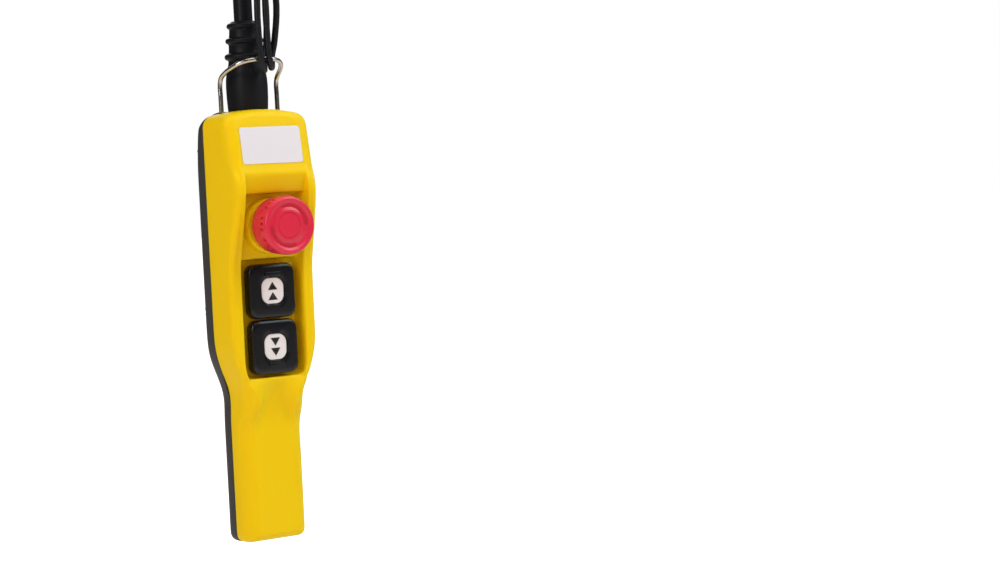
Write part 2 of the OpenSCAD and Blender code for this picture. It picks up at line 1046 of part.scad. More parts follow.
front_shell();
rear_shell();
shell_gasket();
threaded_inserts();
shell_screws();
label_plate();
suspension_bail();
bail_anchor_plates();
bail_anchor_screws();
cable_boot();
cable_tail();
control_cable();
cable_clamp();
cable_clamp_screws();
core_wires();
contact_carrier();
carrier_screws();
fixed_contacts();
terminal_screws();
estop_collar();
estop_barrel();
estop_seal();
estop_lock_nut();
estop_contact_block();
estop_spring();
estop_plunger();
estop_head();
estop_arrows();
up_key_cap();
up_symbol_plate();
up_arrows();
up_lens();
up_stem();
up_bridge();
up_spring();
up_stem_seal();
up_contact_block();
down_key_cap();
down_symbol_plate();
down_arrows();
down_lens();
down_stem();
down_bridge();
down_spring();
down_stem_seal();
down_contact_block();
eye_terminal();
eye_ferrule();
left_sling_cord();
right_sling_cord();
connector_clamp_nut();
connector_shell();
connector_insert();
connector_contacts();
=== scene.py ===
# %% [markdown]
# # Pendant control station
#
# The CAD model gives every piece of this hand-held hoist control its size and place. This
# lesson gives the pieces that are seen their moulded edges and finishes. It starts by loading
# the CAD frame.

import json
import math

import bmesh
import bpy
from mathutils import Euler, Matrix, Vector


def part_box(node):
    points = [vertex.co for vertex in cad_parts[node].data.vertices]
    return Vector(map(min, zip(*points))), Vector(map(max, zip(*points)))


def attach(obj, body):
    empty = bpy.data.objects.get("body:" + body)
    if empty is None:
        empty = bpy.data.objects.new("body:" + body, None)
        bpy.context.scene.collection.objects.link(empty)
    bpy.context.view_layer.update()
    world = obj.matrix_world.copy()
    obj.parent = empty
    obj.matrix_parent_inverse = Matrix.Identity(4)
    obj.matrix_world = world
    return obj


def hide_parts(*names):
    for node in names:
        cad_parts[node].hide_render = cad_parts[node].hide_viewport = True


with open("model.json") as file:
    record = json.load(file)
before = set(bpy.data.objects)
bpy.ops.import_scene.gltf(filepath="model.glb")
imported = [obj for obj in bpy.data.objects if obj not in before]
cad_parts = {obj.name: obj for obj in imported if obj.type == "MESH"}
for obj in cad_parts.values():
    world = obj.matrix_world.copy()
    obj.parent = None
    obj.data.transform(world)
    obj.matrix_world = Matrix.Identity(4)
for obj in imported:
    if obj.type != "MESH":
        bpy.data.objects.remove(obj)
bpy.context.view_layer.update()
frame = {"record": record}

# %% [markdown]
# ## Working in housing millimetres
#
# The row's origin is the hanging eye, which is awkward for drawing the housing. The front
# shell's box gives a better one: the middle of its width, the plane where the two shells meet
# and its lowest point. Each piece is drawn there in millimetres, with X across, minus Y to the
# front and Z up, and one matrix puts it in its place when it is finished.

# %% The housing's own axes
shell_low, shell_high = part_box("front_shell")
housing_origin = Vector(((shell_low.x + shell_high.x) / 2, shell_high.y, shell_low.z))
TO_ROW = Matrix.Translation(housing_origin) @ Matrix.Scale(0.001, 4)
BODY_H = 1000 * (shell_high.z - shell_low.z)
FLOOR_GAP = 0.22


def to_row(x, y, z):
    """A point given in housing millimetres, in the row's metres."""
    return TO_ROW @ Vector((x, y, z))


def in_housing(node):
    """A CAD node's box in housing millimetres."""
    low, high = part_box(node)
    return TO_ROW.inverted() @ low, TO_ROW.inverted() @ high


def middle(node):
    """The centre of a CAD node's box in housing millimetres."""
    low, high = in_housing(node)
    return (low + high) / 2


STOP_Z = middle("estop_head").z
UP_Z = middle("up_symbol_plate").z
DOWN_Z = middle("down_symbol_plate").z
print("housing height", round(BODY_H, 1), "stop button at", round(STOP_Z, 1))
print("keys at", round(UP_Z, 1), round(DOWN_Z, 1))

# %% [markdown]
# ## Camera
#
# The station hangs at the left of a wide frame, seen from its own left side and level with the
# stop button. A long lens keeps its upright edges nearly parallel. The camera first faces the
# stop button's panel, and is then panned and tilted until the button sits left of the middle
# and a little above it. A small roll lets the body lean as it hangs.

# %% Make the camera
VIEW_AZIMUTH = -32.0
VIEW_ELEVATION = 1.3
VIEW_DISTANCE = 1.715
LENS_MM = 89.5
PAN_DEG = 5.36
TILT_DEG = 1.53
ROLL_DEG = -2.9


def direction(azimuth, elevation):
    """A unit vector from the object towards a camera at that azimuth and elevation."""
    a, e = math.radians(azimuth), math.radians(elevation)
    return Vector((math.sin(a) * math.cos(e), -math.cos(a) * math.cos(e), math.sin(e)))


panel_centre = to_row(0, -20, STOP_Z)
back = direction(VIEW_AZIMUTH, VIEW_ELEVATION)
camera_data = bpy.data.cameras.new("camera")
camera_data.lens = LENS_MM
camera_data.sensor_width = 36
camera = bpy.data.objects.new("camera", camera_data)
bpy.context.scene.collection.objects.link(camera)
camera.location = panel_centre + VIEW_DISTANCE * back
facing = (-back).to_track_quat("-Z", "Y").to_matrix()
roll = Matrix.Rotation(math.radians(ROLL_DEG), 3, "Z")
aim = Euler((-math.radians(TILT_DEG), -math.radians(PAN_DEG), 0)).to_matrix()
camera.rotation_mode = "QUATERNION"
camera.rotation_quaternion = (facing @ roll @ aim).to_quaternion()
camera_data.clip_start = 0.01
camera_data.clip_end = 100
bpy.context.scene.view_settings.view_transform = "Standard"
bpy.context.scene.camera = camera
print("camera at", [round(v, 3) for v in camera.location])

# %% [markdown]
# ## Studio
#
# Small plastic goods are lit with large soft lights, so that the flat faces are even and the
# round edges carry long soft highlights. The key light stands to the right, a weaker one to the
# left gives the black keys and the mushroom head their streaks, and a pale floor lies well
# below the hanging body. A warm light near the camera fills the key pocket with the orange that
# yellow walls throw on one another. The surroundings are white to the camera and weaker in reflections,
# so that black plastic stays black.

# %% Lights, surroundings and floor
def soft_light(name, azimuth, elevation, distance, width, height, power, colour=(1, 1, 1)):
    """A rectangular light that faces the stop button's panel."""
    data = bpy.data.lights.new(name, "AREA")
    data.shape = "RECTANGLE"
    data.size, data.size_y = width, height
    data.energy = power
    data.color = colour
    light = bpy.data.objects.new(name, data)
    bpy.context.scene.collection.objects.link(light)
    away = direction(azimuth, elevation)
    light.location = panel_centre + distance * away
    light.rotation_mode = "QUATERNION"
    light.rotation_quaternion = (-away).to_track_quat("-Z", "Y")
    return light


soft_light("key_light", 52, 40, 1.7, 1.3, 1.3, 17.5, (0.90, 0.98, 1.0))
soft_light("left_light", -72, 26, 1.6, 0.4, 1.0, 6.5)
soft_light("top_light", 5, 72, 1.5, 1.2, 1.2, 6)
soft_light("rear_light", 150, 25, 2.2, 1.4, 1.4, 9)

warm_light = soft_light("warm_light", -46, 5, 1.7, 1.0, 1.0, 7.5, (1.0, 0.50, 0.18))
warm_light.visible_glossy = False

world = bpy.data.worlds.new("studio")
bpy.context.scene.world = world
world.use_nodes = True
world_nodes = world.node_tree.nodes
world_links = world.node_tree.links
world_nodes.clear()


def surround(strength, colour=(1, 1, 1)):
    """A plain surrounding of that strength."""
    background = world_nodes.new("ShaderNodeBackground")
    background.inputs["Color"].default_value = (*colour, 1)
    background.inputs["Strength"].default_value = strength
    return background


rays = world_nodes.new("ShaderNodeLightPath")
by_gloss = world_nodes.new("ShaderNodeMixShader")
by_camera = world_nodes.new("ShaderNodeMixShader")
world_out = world_nodes.new("ShaderNodeOutputWorld")
world_links.new(rays.outputs["Is Glossy Ray"], by_gloss.inputs[0])
world_links.new(surround(0.40, (1.0, 0.86, 0.72)).outputs[0], by_gloss.inputs[1])
world_links.new(surround(0.05).outputs[0], by_gloss.inputs[2])
world_links.new(rays.outputs["Is Camera Ray"], by_camera.inputs[0])
world_links.new(by_gloss.outputs[0], by_camera.inputs[1])
world_links.new(surround(1.0).outputs[0], by_camera.inputs[2])
world_links.new(by_camera.outputs[0], world_out.inputs["Surface"])

floor_bm = bmesh.new()
bmesh.ops.create_grid(floor_bm, x_segments=4, y_segments=4, size=14)
floor_mesh = bpy.data.meshes.new("floor")
floor_bm.to_mesh(floor_mesh)
floor_bm.free()
floor = bpy.data.objects.new("floor", floor_mesh)
bpy.context.scene.collection.objects.link(floor)
floor.location = (housing_origin.x, housing_origin.y, housing_origin.z - FLOOR_GAP)
floor_paint = bpy.data.materials.new("floor_paint")
floor_paint.use_nodes = True
floor_shader = floor_paint.node_tree.nodes["Principled BSDF"]
floor_shader.inputs["Base Color"].default_value = (0.86, 0.86, 0.86, 1)
floor_shader.inputs["Roughness"].default_value = 0.9
floor_shader.inputs["Emission Color"].default_value = (1, 1, 1, 1)
floor_nodes, floor_links = floor_paint.node_tree.nodes, floor_paint.node_tree.links
to_camera = floor_nodes.new("ShaderNodeLightPath")
floor_links.new(to_camera.outputs["Is Camera Ray"], floor_shader.inputs["Emission Strength"])
floor.data.materials.append(floor_paint)

# %% [markdown]
# ## Finishes
#
# Moulded plastic has a fine grain from its tool, and its gloss varies a little where hands have
# rubbed it. Both are drawn with noise in object coordinates, which stay with the piece when it
# moves. The colour that is the same all over is set on the shader itself.

# %% Build the finishes
def finish(name, colour, roughness, metallic=0.0, grain=0.0, grain_size=0.5, gloss_change=0.04, **sockets):
    """A procedural finish. grain is the height in mm of the surface texture, grain_size its pitch in mm."""
    paint = bpy.data.materials.new(name)
    paint.use_nodes = True
    nodes, links = paint.node_tree.nodes, paint.node_tree.links
    shader = nodes["Principled BSDF"]
    shader.inputs["Base Color"].default_value = (*colour, 1)
    shader.inputs["Metallic"].default_value = metallic
    for socket, value in sockets.items():
        shader.inputs[socket.replace("_", " ")].default_value = value
    place = nodes.new("ShaderNodeTexCoord")
    rubbed = nodes.new("ShaderNodeTexNoise")
    rubbed.inputs["Scale"].default_value = 45
    rubbed.inputs["Detail"].default_value = 3
    links.new(place.outputs["Object"], rubbed.inputs["Vector"])
    gloss = nodes.new("ShaderNodeMapRange")
    gloss.inputs["To Min"].default_value = roughness - gloss_change
    gloss.inputs["To Max"].default_value = roughness + gloss_change
    links.new(rubbed.outputs["Fac"], gloss.inputs["Value"])
    links.new(gloss.outputs["Result"], shader.inputs["Roughness"])
    if grain > 0:
        texture = nodes.new("ShaderNodeTexNoise")
        texture.inputs["Scale"].default_value = 1000 / grain_size
        texture.inputs["Detail"].default_value = 2
        links.new(place.outputs["Object"], texture.inputs["Vector"])
        bump = nodes.new("ShaderNodeBump")
        bump.inputs["Distance"].default_value = grain / 1000
        bump.inputs["Strength"].default_value = 1
        links.new(texture.outputs["Fac"], bump.inputs["Height"])
        links.new(bump.outputs["Normal"], shader.inputs["Normal"])
    return paint


FINISHES = {
    "yellow_shell": finish("yellow_plastic", (0.84, 0.60, 0.002), 0.42, grain=0.012, grain_size=0.6,
                           Specular_IOR_Level=0.14, Subsurface_Weight=0.3, Subsurface_Scale=0.006,
                           Subsurface_Radius=(1.0, 0.3, 0.05)),
    "dark_shell": finish("grey_plastic", (0.032, 0.035, 0.043), 0.45, grain=0.02, grain_size=0.5),
    "rubber": finish("boot_rubber", (0.005, 0.0062, 0.010), 0.46, grain=0.02, grain_size=0.8,
                     Specular_IOR_Level=0.22),
    "brass": finish("brass", (0.78, 0.56, 0.22), 0.3, metallic=1.0),
    "zinc_steel": finish("zinc_plate", (0.60, 0.60, 0.60), 0.34, metallic=1.0),
    "label": finish("label_foil", (0.70, 0.73, 0.84), 0.45, grain=0.004, grain_size=0.4),
    "bail_wire": finish("bail_steel", (0.62, 0.58, 0.53), 0.2, metallic=1.0, grain=0.01, grain_size=0.4),
    "cable_jacket": finish("cable_jacket", (0.005, 0.0062, 0.010), 0.38, grain=0.01, grain_size=1.0,
                           Specular_IOR_Level=0.25),
    "core_insulation": finish("core_insulation", (0.03, 0.09, 0.42), 0.4),
    "carrier": finish("carrier_board", (0.42, 0.36, 0.20), 0.5, grain=0.01, grain_size=0.3),
    "block_black": finish("block_plastic", (0.022, 0.022, 0.024), 0.5, grain=0.01, grain_size=0.4),
    "block_red": finish("red_block_plastic", (0.45, 0.03, 0.02), 0.45, grain=0.01, grain_size=0.4),
    "stop_red": finish("stop_plastic", (0.66, 0.022, 0.065), 0.24, grain=0.006, grain_size=0.5),
    "key_black": finish("key_plastic", (0.004, 0.005, 0.0085), 0.27, grain=0.005, grain_size=0.5,
                        Specular_IOR_Level=0.42),
    "symbol_white": finish("symbol_white", (0.92, 0.94, 1.0), 0.35),
    "symbol_black": finish("symbol_black", (0.008, 0.008, 0.008), 0.5),
    "clear_lens": finish("clear_lens", (0.97, 0.98, 1.0), 0.08, gloss_change=0.02,
                         Transmission_Weight=1.0, IOR=1.12, Alpha=0.35),
    "stem_grey": finish("stem_plastic", (0.50, 0.50, 0.46), 0.45),
    "copper": finish("contact_copper", (0.85, 0.45, 0.25), 0.3, metallic=1.0),
    "spring_steel": finish("spring_steel", (0.55, 0.55, 0.56), 0.3, metallic=1.0),
    "terminal_steel": finish("terminal_steel", (0.56, 0.56, 0.57), 0.32, metallic=1.0, grain=0.02,
                             grain_size=1.2),
    "sling_cord": finish("sling_cord", (0.006, 0.0075, 0.012), 0.45, grain=0.03, grain_size=0.7,
                         Specular_IOR_Level=0.3),
    "connector_metal": finish("connector_metal", (0.45, 0.45, 0.47), 0.36, metallic=1.0, grain=0.008,
                              grain_size=0.5),
}
slot_of = {row["node"]: row["material_slot"] for row in frame["record"]["subparts"]}
for node, slot in slot_of.items():
    cad_mesh = bpy.data.objects[node].data
    cad_mesh.materials.clear()
    cad_mesh.materials.append(FINISHES[slot])
print(len(FINISHES), "finishes on", len(slot_of), "CAD nodes")

# %% [markdown]
# ## Cords first
#
# The control cable hangs straight down into its boot, and the two slings each run down from the
# terminal, round the bail and up again. Their routes repeat the ones that the CAD solids follow,
# so they are made before anything else.

# %% Draw the cable and the slings
def cord_curve(name, points, radius, slot, body, node):
    """A round cord along a smooth curve through the points, in housing millimetres."""
    data = bpy.data.curves.new(name, "CURVE")
    data.dimensions = "3D"
    data.bevel_depth = radius / 1000
    data.bevel_resolution = 6
    data.use_fill_caps = True
    data.resolution_u = 5
    line = data.splines.new("BEZIER")
    line.bezier_points.add(len(points) - 1)
    for knot, (x, forward, z) in zip(line.bezier_points, points):
        knot.co = to_row(x, -forward, z)
        knot.handle_left_type = knot.handle_right_type = "AUTO"
    piece = bpy.data.objects.new(name, data)
    bpy.context.scene.collection.objects.link(piece)
    data.materials.append(FINISHES[slot])
    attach(piece, body)
    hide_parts(node)
    return piece


def run_length(points, steps=24):
    """The length in metres of a smooth curve through the points."""
    total, last = 0.0, None
    for i in range(len(points) - 1):
        a, b, c, d = (Vector(points[min(max(k, 0), len(points) - 1)]) for k in (i - 1, i, i + 1, i + 2))
        for k in range(steps + 1):
            t = k / steps
            p = 0.5 * (2 * b + (c - a) * t + (2 * a - 5 * b + 4 * c - d) * t * t
                       + (3 * b - a - 3 * c + d) * t ** 3)
            total += 0 if last is None else (p - last).length
            last = p
    return total / 1000


CABLE_R = 6.5
CABLE_Y = 4.0
SLING_R = 2.25
cable_low, cable_high = in_housing("control_cable")
cable_line = [(0, CABLE_Y, cable_low.z + k * (cable_high.z - cable_low.z) / 8) for k in range(9)]
cable = cord_curve("control_cable_run", cable_line, CABLE_R, "cable_jacket", "housing", "control_cable")
run_length(cable_line)

left_sling_line = [
    (0, 31.5, 428), (0, 31.5, 420), (0, 31.5, 413), (0, 31.5, 408), (-3, 32.2, 396), (-6, 32.9, 374),
    (-6, 32.9, 340), (-4.9, 32.8, 330), (-3, 31.2, 325.4), (-0.8, 29, 324), (0.6, 26.8, 325.4),
    (2.4, 24.8, 330), (4.4, 24.6, 340), (5.4, 25, 374), (3, 25.6, 396),
    (0, 26.5, 408), (0, 26.5, 413), (0, 26.5, 420), (0, 26.5, 428),
]
right_sling_line = [
    (5, 31.5, 428), (5, 31.5, 420), (5, 31.5, 413), (5, 31.5, 408), (2.6, 32.2, 396), (0.4, 32.9, 374),
    (0.4, 33.1, 344), (0.8, 33.3, 333), (2.8, 31.8, 327.4), (5.2, 28.6, 325.7), (7.8, 25.2, 327),
    (9.8, 22.4, 333), (12, 23.4, 344), (14, 25, 374), (9.8, 25.6, 396),
    (5, 26.5, 408), (5, 26.5, 413), (5, 26.5, 420), (5, 26.5, 428),
]
for side, line in (("left", left_sling_line), ("right", right_sling_line)):
    sling = cord_curve(f"{side}_sling", line, SLING_R, "sling_cord", "housing", f"{side}_sling_cord")
    run_length(line)
    print(side, "sling", round(run_length(line), 3), "m")

# %% [markdown]
# ## Turning a bmesh into a finished piece
#
# Every modelled piece ends in the same way. Its doubles are merged, its normals are turned
# away from its middle, which an open shell needs as well, and the matrix moves it to its place.
# It takes a finish, a body to ride on and the CAD nodes that it stands for. Faces are smooth,
# with sharp edges kept where two faces meet at a steep angle.

# %% A helper that finishes pieces
def verts_of(geom):
    """The vertices among what an operator made."""
    return [g for g in geom if isinstance(g, bmesh.types.BMVert)]


def open_edges_of(geom):
    """The edges on a border among what an operator made."""
    return [g for g in geom if isinstance(g, bmesh.types.BMEdge) and g.is_boundary]


def add_piece(bm, name, slot, body, *nodes, sharp):
    """The bmesh as an object of the model. Edges steeper than sharp degrees stay sharp."""
    bmesh.ops.remove_doubles(bm, verts=bm.verts, dist=0.0005)
    bmesh.ops.recalc_face_normals(bm, faces=bm.faces)
    centre = sum((v.co for v in bm.verts), Vector()) / len(bm.verts)
    if sum(f.calc_area() * f.normal.dot(f.calc_center_median() - centre) for f in bm.faces) < 0:
        bmesh.ops.reverse_faces(bm, faces=bm.faces)
    for edge in bm.edges:
        steep = not edge.is_manifold or edge.calc_face_angle(0) > math.radians(sharp)
        edge.smooth = not steep
    bmesh.ops.transform(bm, matrix=TO_ROW, verts=bm.verts)
    mesh = bpy.data.meshes.new(name)
    bm.to_mesh(mesh)
    bm.free()
    for face in mesh.polygons:
        face.use_smooth = True
    mesh.materials.append(FINISHES[slot])
    piece = bpy.data.objects.new(name, mesh)
    bpy.context.scene.collection.objects.link(piece)
    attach(piece, body)
    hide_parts(*nodes)
    return piece

# %% [markdown]
# ## The two shells
#
# The front shell is one moulding: a hood with the label, a sunk panel between two cheeks, a
# deeper pocket for the keys, and a slim grip. Its front can be drawn as one grid whose columns
# and rows are closer together where the surface turns, so the grid is made flat and each of its
# points is moved to its place. Its border is then extruded backwards, ring by ring, round the
# edge and down the side wall to the plane where the shells meet. Subdivision rounds it all.

# %% Curves that describe the housing
def along(table, z):
    """Smoothly reads a table of (height, value) rows at height z."""
    if z <= table[0][0]:
        return table[0][1]
    if z >= table[-1][0]:
        return table[-1][1]
    i = max(k for k in range(len(table) - 1) if table[k][0] <= z)
    slope = []
    for k in (i, i + 1):
        steps = [(table[b][1] - table[a][1]) / (table[b][0] - table[a][0])
                 for a, b in ((k - 1, k), (k, k + 1)) if a >= 0 and b < len(table)]
        flat = len(steps) == 2 and steps[0] * steps[1] <= 0
        slope.append(0 if flat else steps[0] if len(steps) == 1 else 2 * steps[0] * steps[1] / sum(steps))
    (z0, v0), (z1, v1) = table[i], table[i + 1]
    width, t = z1 - z0, (z - z0) / (z1 - z0)
    return (v0 * (1 + 2 * t) * (1 - t) ** 2 + slope[0] * width * t * (1 - t) ** 2
            + v1 * t * t * (3 - 2 * t) + slope[1] * width * t * t * (t - 1))


def ease(value, low, high):
    """0 below low, 1 above high, with a smooth change between."""
    t = min(max((value - low) / (high - low), 0), 1)
    return t * t * (3 - 2 * t)


half_width = [(0, 25.2), (86, 25.1), (96, 24.5), (104, 25.1), (112, 27.5), (121, 30.8), (130, 33.8),
              (140, 35), (300, 35)]
cheek_line = [(0, 16.9), (60, 17.2), (88, 16.9), (96, 16.6), (103, 18.0), (109, 21.4), (116, 23.8),
              (130, 24.2), (184, 24.6), (194, 25.7), (204, 28.0), (216, 31.2), (228, 34.3), (238, 36.3),
              (244, 37), (249, 36.7), (254, 35.2), (258, 33.7), (262, 32.95), (290, 28.8), (300, 27.2)]
front_radius = [(0, 8), (96, 8), (104, 6.5), (111, 3.6), (117, 2.8), (240, 2.8), (256, 4), (285, 5.5),
                (300, 6)]
rear_radius = [(0, 8.4), (100, 8.4), (124, 7.5), (254, 7.5), (276, 9), (298, 12)]
CROWN_R, FOOT_R = 7.0, 6.0
CROWN_FALL = 0.0042
LEAN, FRONT_LEAN, FRONT_LEAN_FROM = 0.045, 0.13, 27
REAR_DROP = 0.3


def flat_half(z, depth, radii=front_radius):
    """Half the width of the face at a height, inside its edges. The wall leans in towards the front."""
    lean = LEAN * depth + FRONT_LEAN * max(0, depth - FRONT_LEAN_FROM)
    return along(half_width, z) - along(radii, z) - lean


def turn_corner(x, z, half, insets):
    """Moves a point of the square outline onto the one with round corners and a crowned top."""
    for tip_z, radius, way, inset in ((BODY_H, CROWN_R, 1, insets[1]), (0, FOOT_R, -1, insets[0])):
        r = max(radius - inset, 1.0)
        centre_x, centre_z = half - r, tip_z - way * (inset + r)
        a, b = (abs(x) - centre_x) / r, way * (z - centre_z) / r
        if a > 0 and b > 0:
            a, b = min(a, 1), min(b, 1)
            x = math.copysign(centre_x + r * a * math.sqrt(1 - b * b / 2), x)
            z = centre_z + way * r * b * math.sqrt(1 - a * a / 2)
    return x, z - CROWN_FALL * x * x * ease(z, 258, 306)


def at_height(height, insets):
    """A grid height moved inside the foot's and the top's insets."""
    return insets[0] + height * (1 - sum(insets) / BODY_H)


def edge_place(across, height, depth, share, inset, end_radii, radii):
    """Where a border point lies. across is -1 to 1; share is 1 on the face and 0 on the wall."""
    insets = [radius * share + inset for radius in end_radii]
    z = at_height(height, insets)
    half = flat_half(z, depth, radii) + along(radii, z) * (1 - share) - inset
    x, z = turn_corner(across * half, z, half, insets)
    return x, z - REAR_DROP * max(0, -depth) * ease(z, 262, 300)


print("width at the keys", 2 * along(half_width, UP_Z), "at the grip", 2 * along(half_width, 40))

# %% [markdown]
# The table of rows says how deep the middle of the front lies at each height. Rows that are
# close together make a firm edge, such as the lips of the key pocket, and rows that are far
# apart leave a soft one, such as the crest of the hood. Columns across the recess keep their
# place while the body narrows, so that the pocket stays square beside the keys.

# %% The front shell's grid
columns = [0, 5, 10, 15, 19.5, 22.4, 23.7, 24.2, 24.6, 25.3, 26.8, 29.6, 32.0]
in_recess = [1, 1, 1, 1, 1, 1, 1, 0.86, 0.1, 0, 0, 0, 0]
rows = [
    (0, None), (1.5, None), (4, None), (8, None), (16, None), (30, None), (46, None), (62, None),
    (76, None), (84, None), (89, None), (93, None), (98, None), (104, None), (109, None), (112.4, None),
    (113.5, 22.6), (113.9, 21.3), (114.2, 13.6), (114.8, 12.2), (117, 12), (122, 12), (132, 12),
    (142, 12), (154, 12), (166, 12), (178, 12), (186, 12), (191, 12), (194.2, 12.1), (195.0, 13.4),
    (195.4, 18.4), (195.9, 19.8), (198, 20), (203, 20), (210, 20), (218, 20), (226, 20), (233, 20),
    (237.4, 20), (239.2, 20.1), (239.9, 20.8), (240.2, 29.6), (240.9, 31.0), (243.6, 32.0),
    (247.6, 33.2), (251.2, 34.4), (253.4, 34.9), (255.6, 34.4), (258.6, None), (262, None), (268, None),
    (276, None), (283, None), (288, None), (292, None), (295, None), (297, None), (298, None),
]
POCKET_TOP, POCKET_FOOT, PANEL_DEPTH = 195.2, 114.1, 20.0
RECESS_EDGE, FACE_EDGE = 25.3, columns[-1]
END_RADII = (4.5, 4.5)


def column_place(column, z, depth):
    """How far from the middle a column lies: fixed across the recess, in proportion elsewhere."""
    c, edge = columns[column], flat_half(z, depth)
    in_proportion = c / FACE_EDGE * edge
    inner = min(RECESS_EDGE, edge - 1.6)
    beside = inner + (c - RECESS_EDGE) / (FACE_EDGE - RECESS_EDGE) * (edge - inner)
    fixed = c * inner / RECESS_EDGE if c <= RECESS_EDGE else beside
    share = ease(z, 99, 112) * (1 - ease(z, 254, 285))
    return fixed * share + in_proportion * (1 - share)


def front_depth(column, height, floor_depth):
    """How far forward the front surface lies at one grid point."""
    apron = height + 0.02 * columns[column] ** 2 if height < 112 else height
    cheek = along(cheek_line, apron if height > 60 else height)
    if floor_depth is None:
        return cheek
    depth = in_recess[column] * floor_depth + (1 - in_recess[column]) * cheek
    corner_fill = {5: 1.2, 6: 3.4, 7: 4.6}.get(column)
    if corner_fill and floor_depth < 14:
        upper, lower = POCKET_TOP - height, height - POCKET_FOOT
        if upper < corner_fill:
            depth = max(depth, PANEL_DEPTH - 8 * max(upper, 0) / corner_fill)
        if lower < corner_fill:
            depth = max(depth, cheek - 12 * max(lower, 0) / corner_fill)
    return depth


shell_bm = bmesh.new()
n_across, n_up = 2 * (len(columns) - 1), len(rows) - 1
bmesh.ops.create_grid(shell_bm, x_segments=n_across, y_segments=n_up, size=1)
front_border = {}
for vert in shell_bm.verts:
    i, j = round((vert.co.x + 1) / 2 * n_across), round((vert.co.y + 1) / 2 * n_up)
    column, side = abs(i - n_across // 2), math.copysign(1, i - n_across / 2)
    height, floor_depth = rows[j]
    depth = front_depth(column, height, floor_depth)
    if vert.is_boundary:
        across = side * columns[column] / FACE_EDGE
        front_border[vert] = (across, height, depth)
        x, z = edge_place(across, height, depth, 1, 0, END_RADII, front_radius)
    else:
        z = at_height(height, END_RADII) if height < 10 or height > 286 else height
        x = side * column_place(column, z, depth)
        if height < 10 or height > 286:
            x, z = turn_corner(x, z, flat_half(z, depth), END_RADII)
    vert.co = (x, -depth, z)
print("front grid:", len(shell_bm.verts), "points")

# %% [markdown]
# Each extruded ring keeps the across and height values of the border point that it came from,
# so the wall follows the outline at every step. The last rings make the small bevel that shows
# as a thin line where the two shells meet.

# %% Extrude the side wall
def extrude_rings(bm, places, ring_table, end_radii, radii):
    """Extrudes the border once for each ring: (share, depth from the face's depth and radius, inset)."""
    edges = [edge for edge in bm.edges if edge.is_boundary]
    current = dict(places)
    for share, depth_of, inset in ring_table:
        made = bmesh.ops.extrude_edge_only(bm, edges=edges)["geom"]
        following = {}
        for vert in verts_of(made):
            old = next(e.other_vert(vert) for e in vert.link_edges if e.other_vert(vert) in current)
            across, height, face_depth = following[vert] = current[old]
            depth = depth_of(face_depth, along(radii, height))
            x, z = edge_place(across, height, depth, share, inset, end_radii, radii)
            vert.co = (x, -depth, z)
        edges = open_edges_of(made)
        current = following


def subdivided(bm, levels):
    """The bmesh after Catmull-Clark subdivision, as a new bmesh."""
    bmesh.ops.recalc_face_normals(bm, faces=bm.faces)
    mesh = bpy.data.meshes.new("cage")
    bm.to_mesh(mesh)
    bm.free()
    cage = bpy.data.objects.new("cage", mesh)
    bpy.context.scene.collection.objects.link(cage)
    rounding = cage.modifiers.new("rounding", "SUBSURF")
    rounding.levels = levels
    result = bmesh.new()
    result.from_mesh(cage.evaluated_get(bpy.context.evaluated_depsgraph_get()).to_mesh())
    bpy.data.objects.remove(cage)
    bpy.data.meshes.remove(mesh)
    return result


def open_hole(bm, x, y, z, radius):
    """Removes the faces inside a round hole along Y and snaps the rim that is left to the circle."""
    def off_axis(point):
        return math.hypot(point.x - x, point.z - z)

    inside = [f for f in bm.faces
              if off_axis(f.calc_center_median()) < radius and abs(f.calc_center_median().y - y) < 4]
    rim = {v for f in inside for v in f.verts if any(g not in inside for g in v.link_faces)}
    bmesh.ops.delete(bm, geom=inside, context="FACES")
    for vert in rim:
        grow = radius / off_axis(vert.co)
        vert.co = (x + (vert.co.x - x) * grow, vert.co.y, z + (vert.co.z - z) * grow)
    return rim


ROUND_45 = 1 - math.sqrt(0.5)
extrude_rings(shell_bm, front_border, [
    (ROUND_45, lambda face, r: face - ROUND_45 * r, 0),
    (0, lambda face, r: face - r, 0),
    (0, lambda face, r: 0.55 * (face - r), 0),
    (0, lambda face, r: 1.1, 0),
    (0, lambda face, r: 0.35, 0.12),
    (0, lambda face, r: 0.06, 0.5),
], END_RADII, front_radius)
shell_bm = subdivided(shell_bm, 2)
open_hole(shell_bm, 0, -PANEL_DEPTH, STOP_Z, 11.3)
for key_z in (UP_Z, DOWN_Z):
    open_hole(shell_bm, 0, -12, key_z, 7.1)
front = add_piece(shell_bm, "front_moulding", "yellow_shell", "housing", "front_shell", sharp=60)
wall = front.modifiers.new("wall", "SOLIDIFY")
wall.thickness, wall.offset = 0.0022, -1
print("front moulding:", len(front.data.polygons), "faces before its wall")

# %% [markdown]
# The rear shell is a plain dish with rounded rear edges, flat behind so that it lies against a
# wall. Its top is rounder and falls a little towards the back, so that the front shell hides it.
# It is drawn in the same way, and its six screw wells are extruded inwards from the rims of
# round holes in the back.

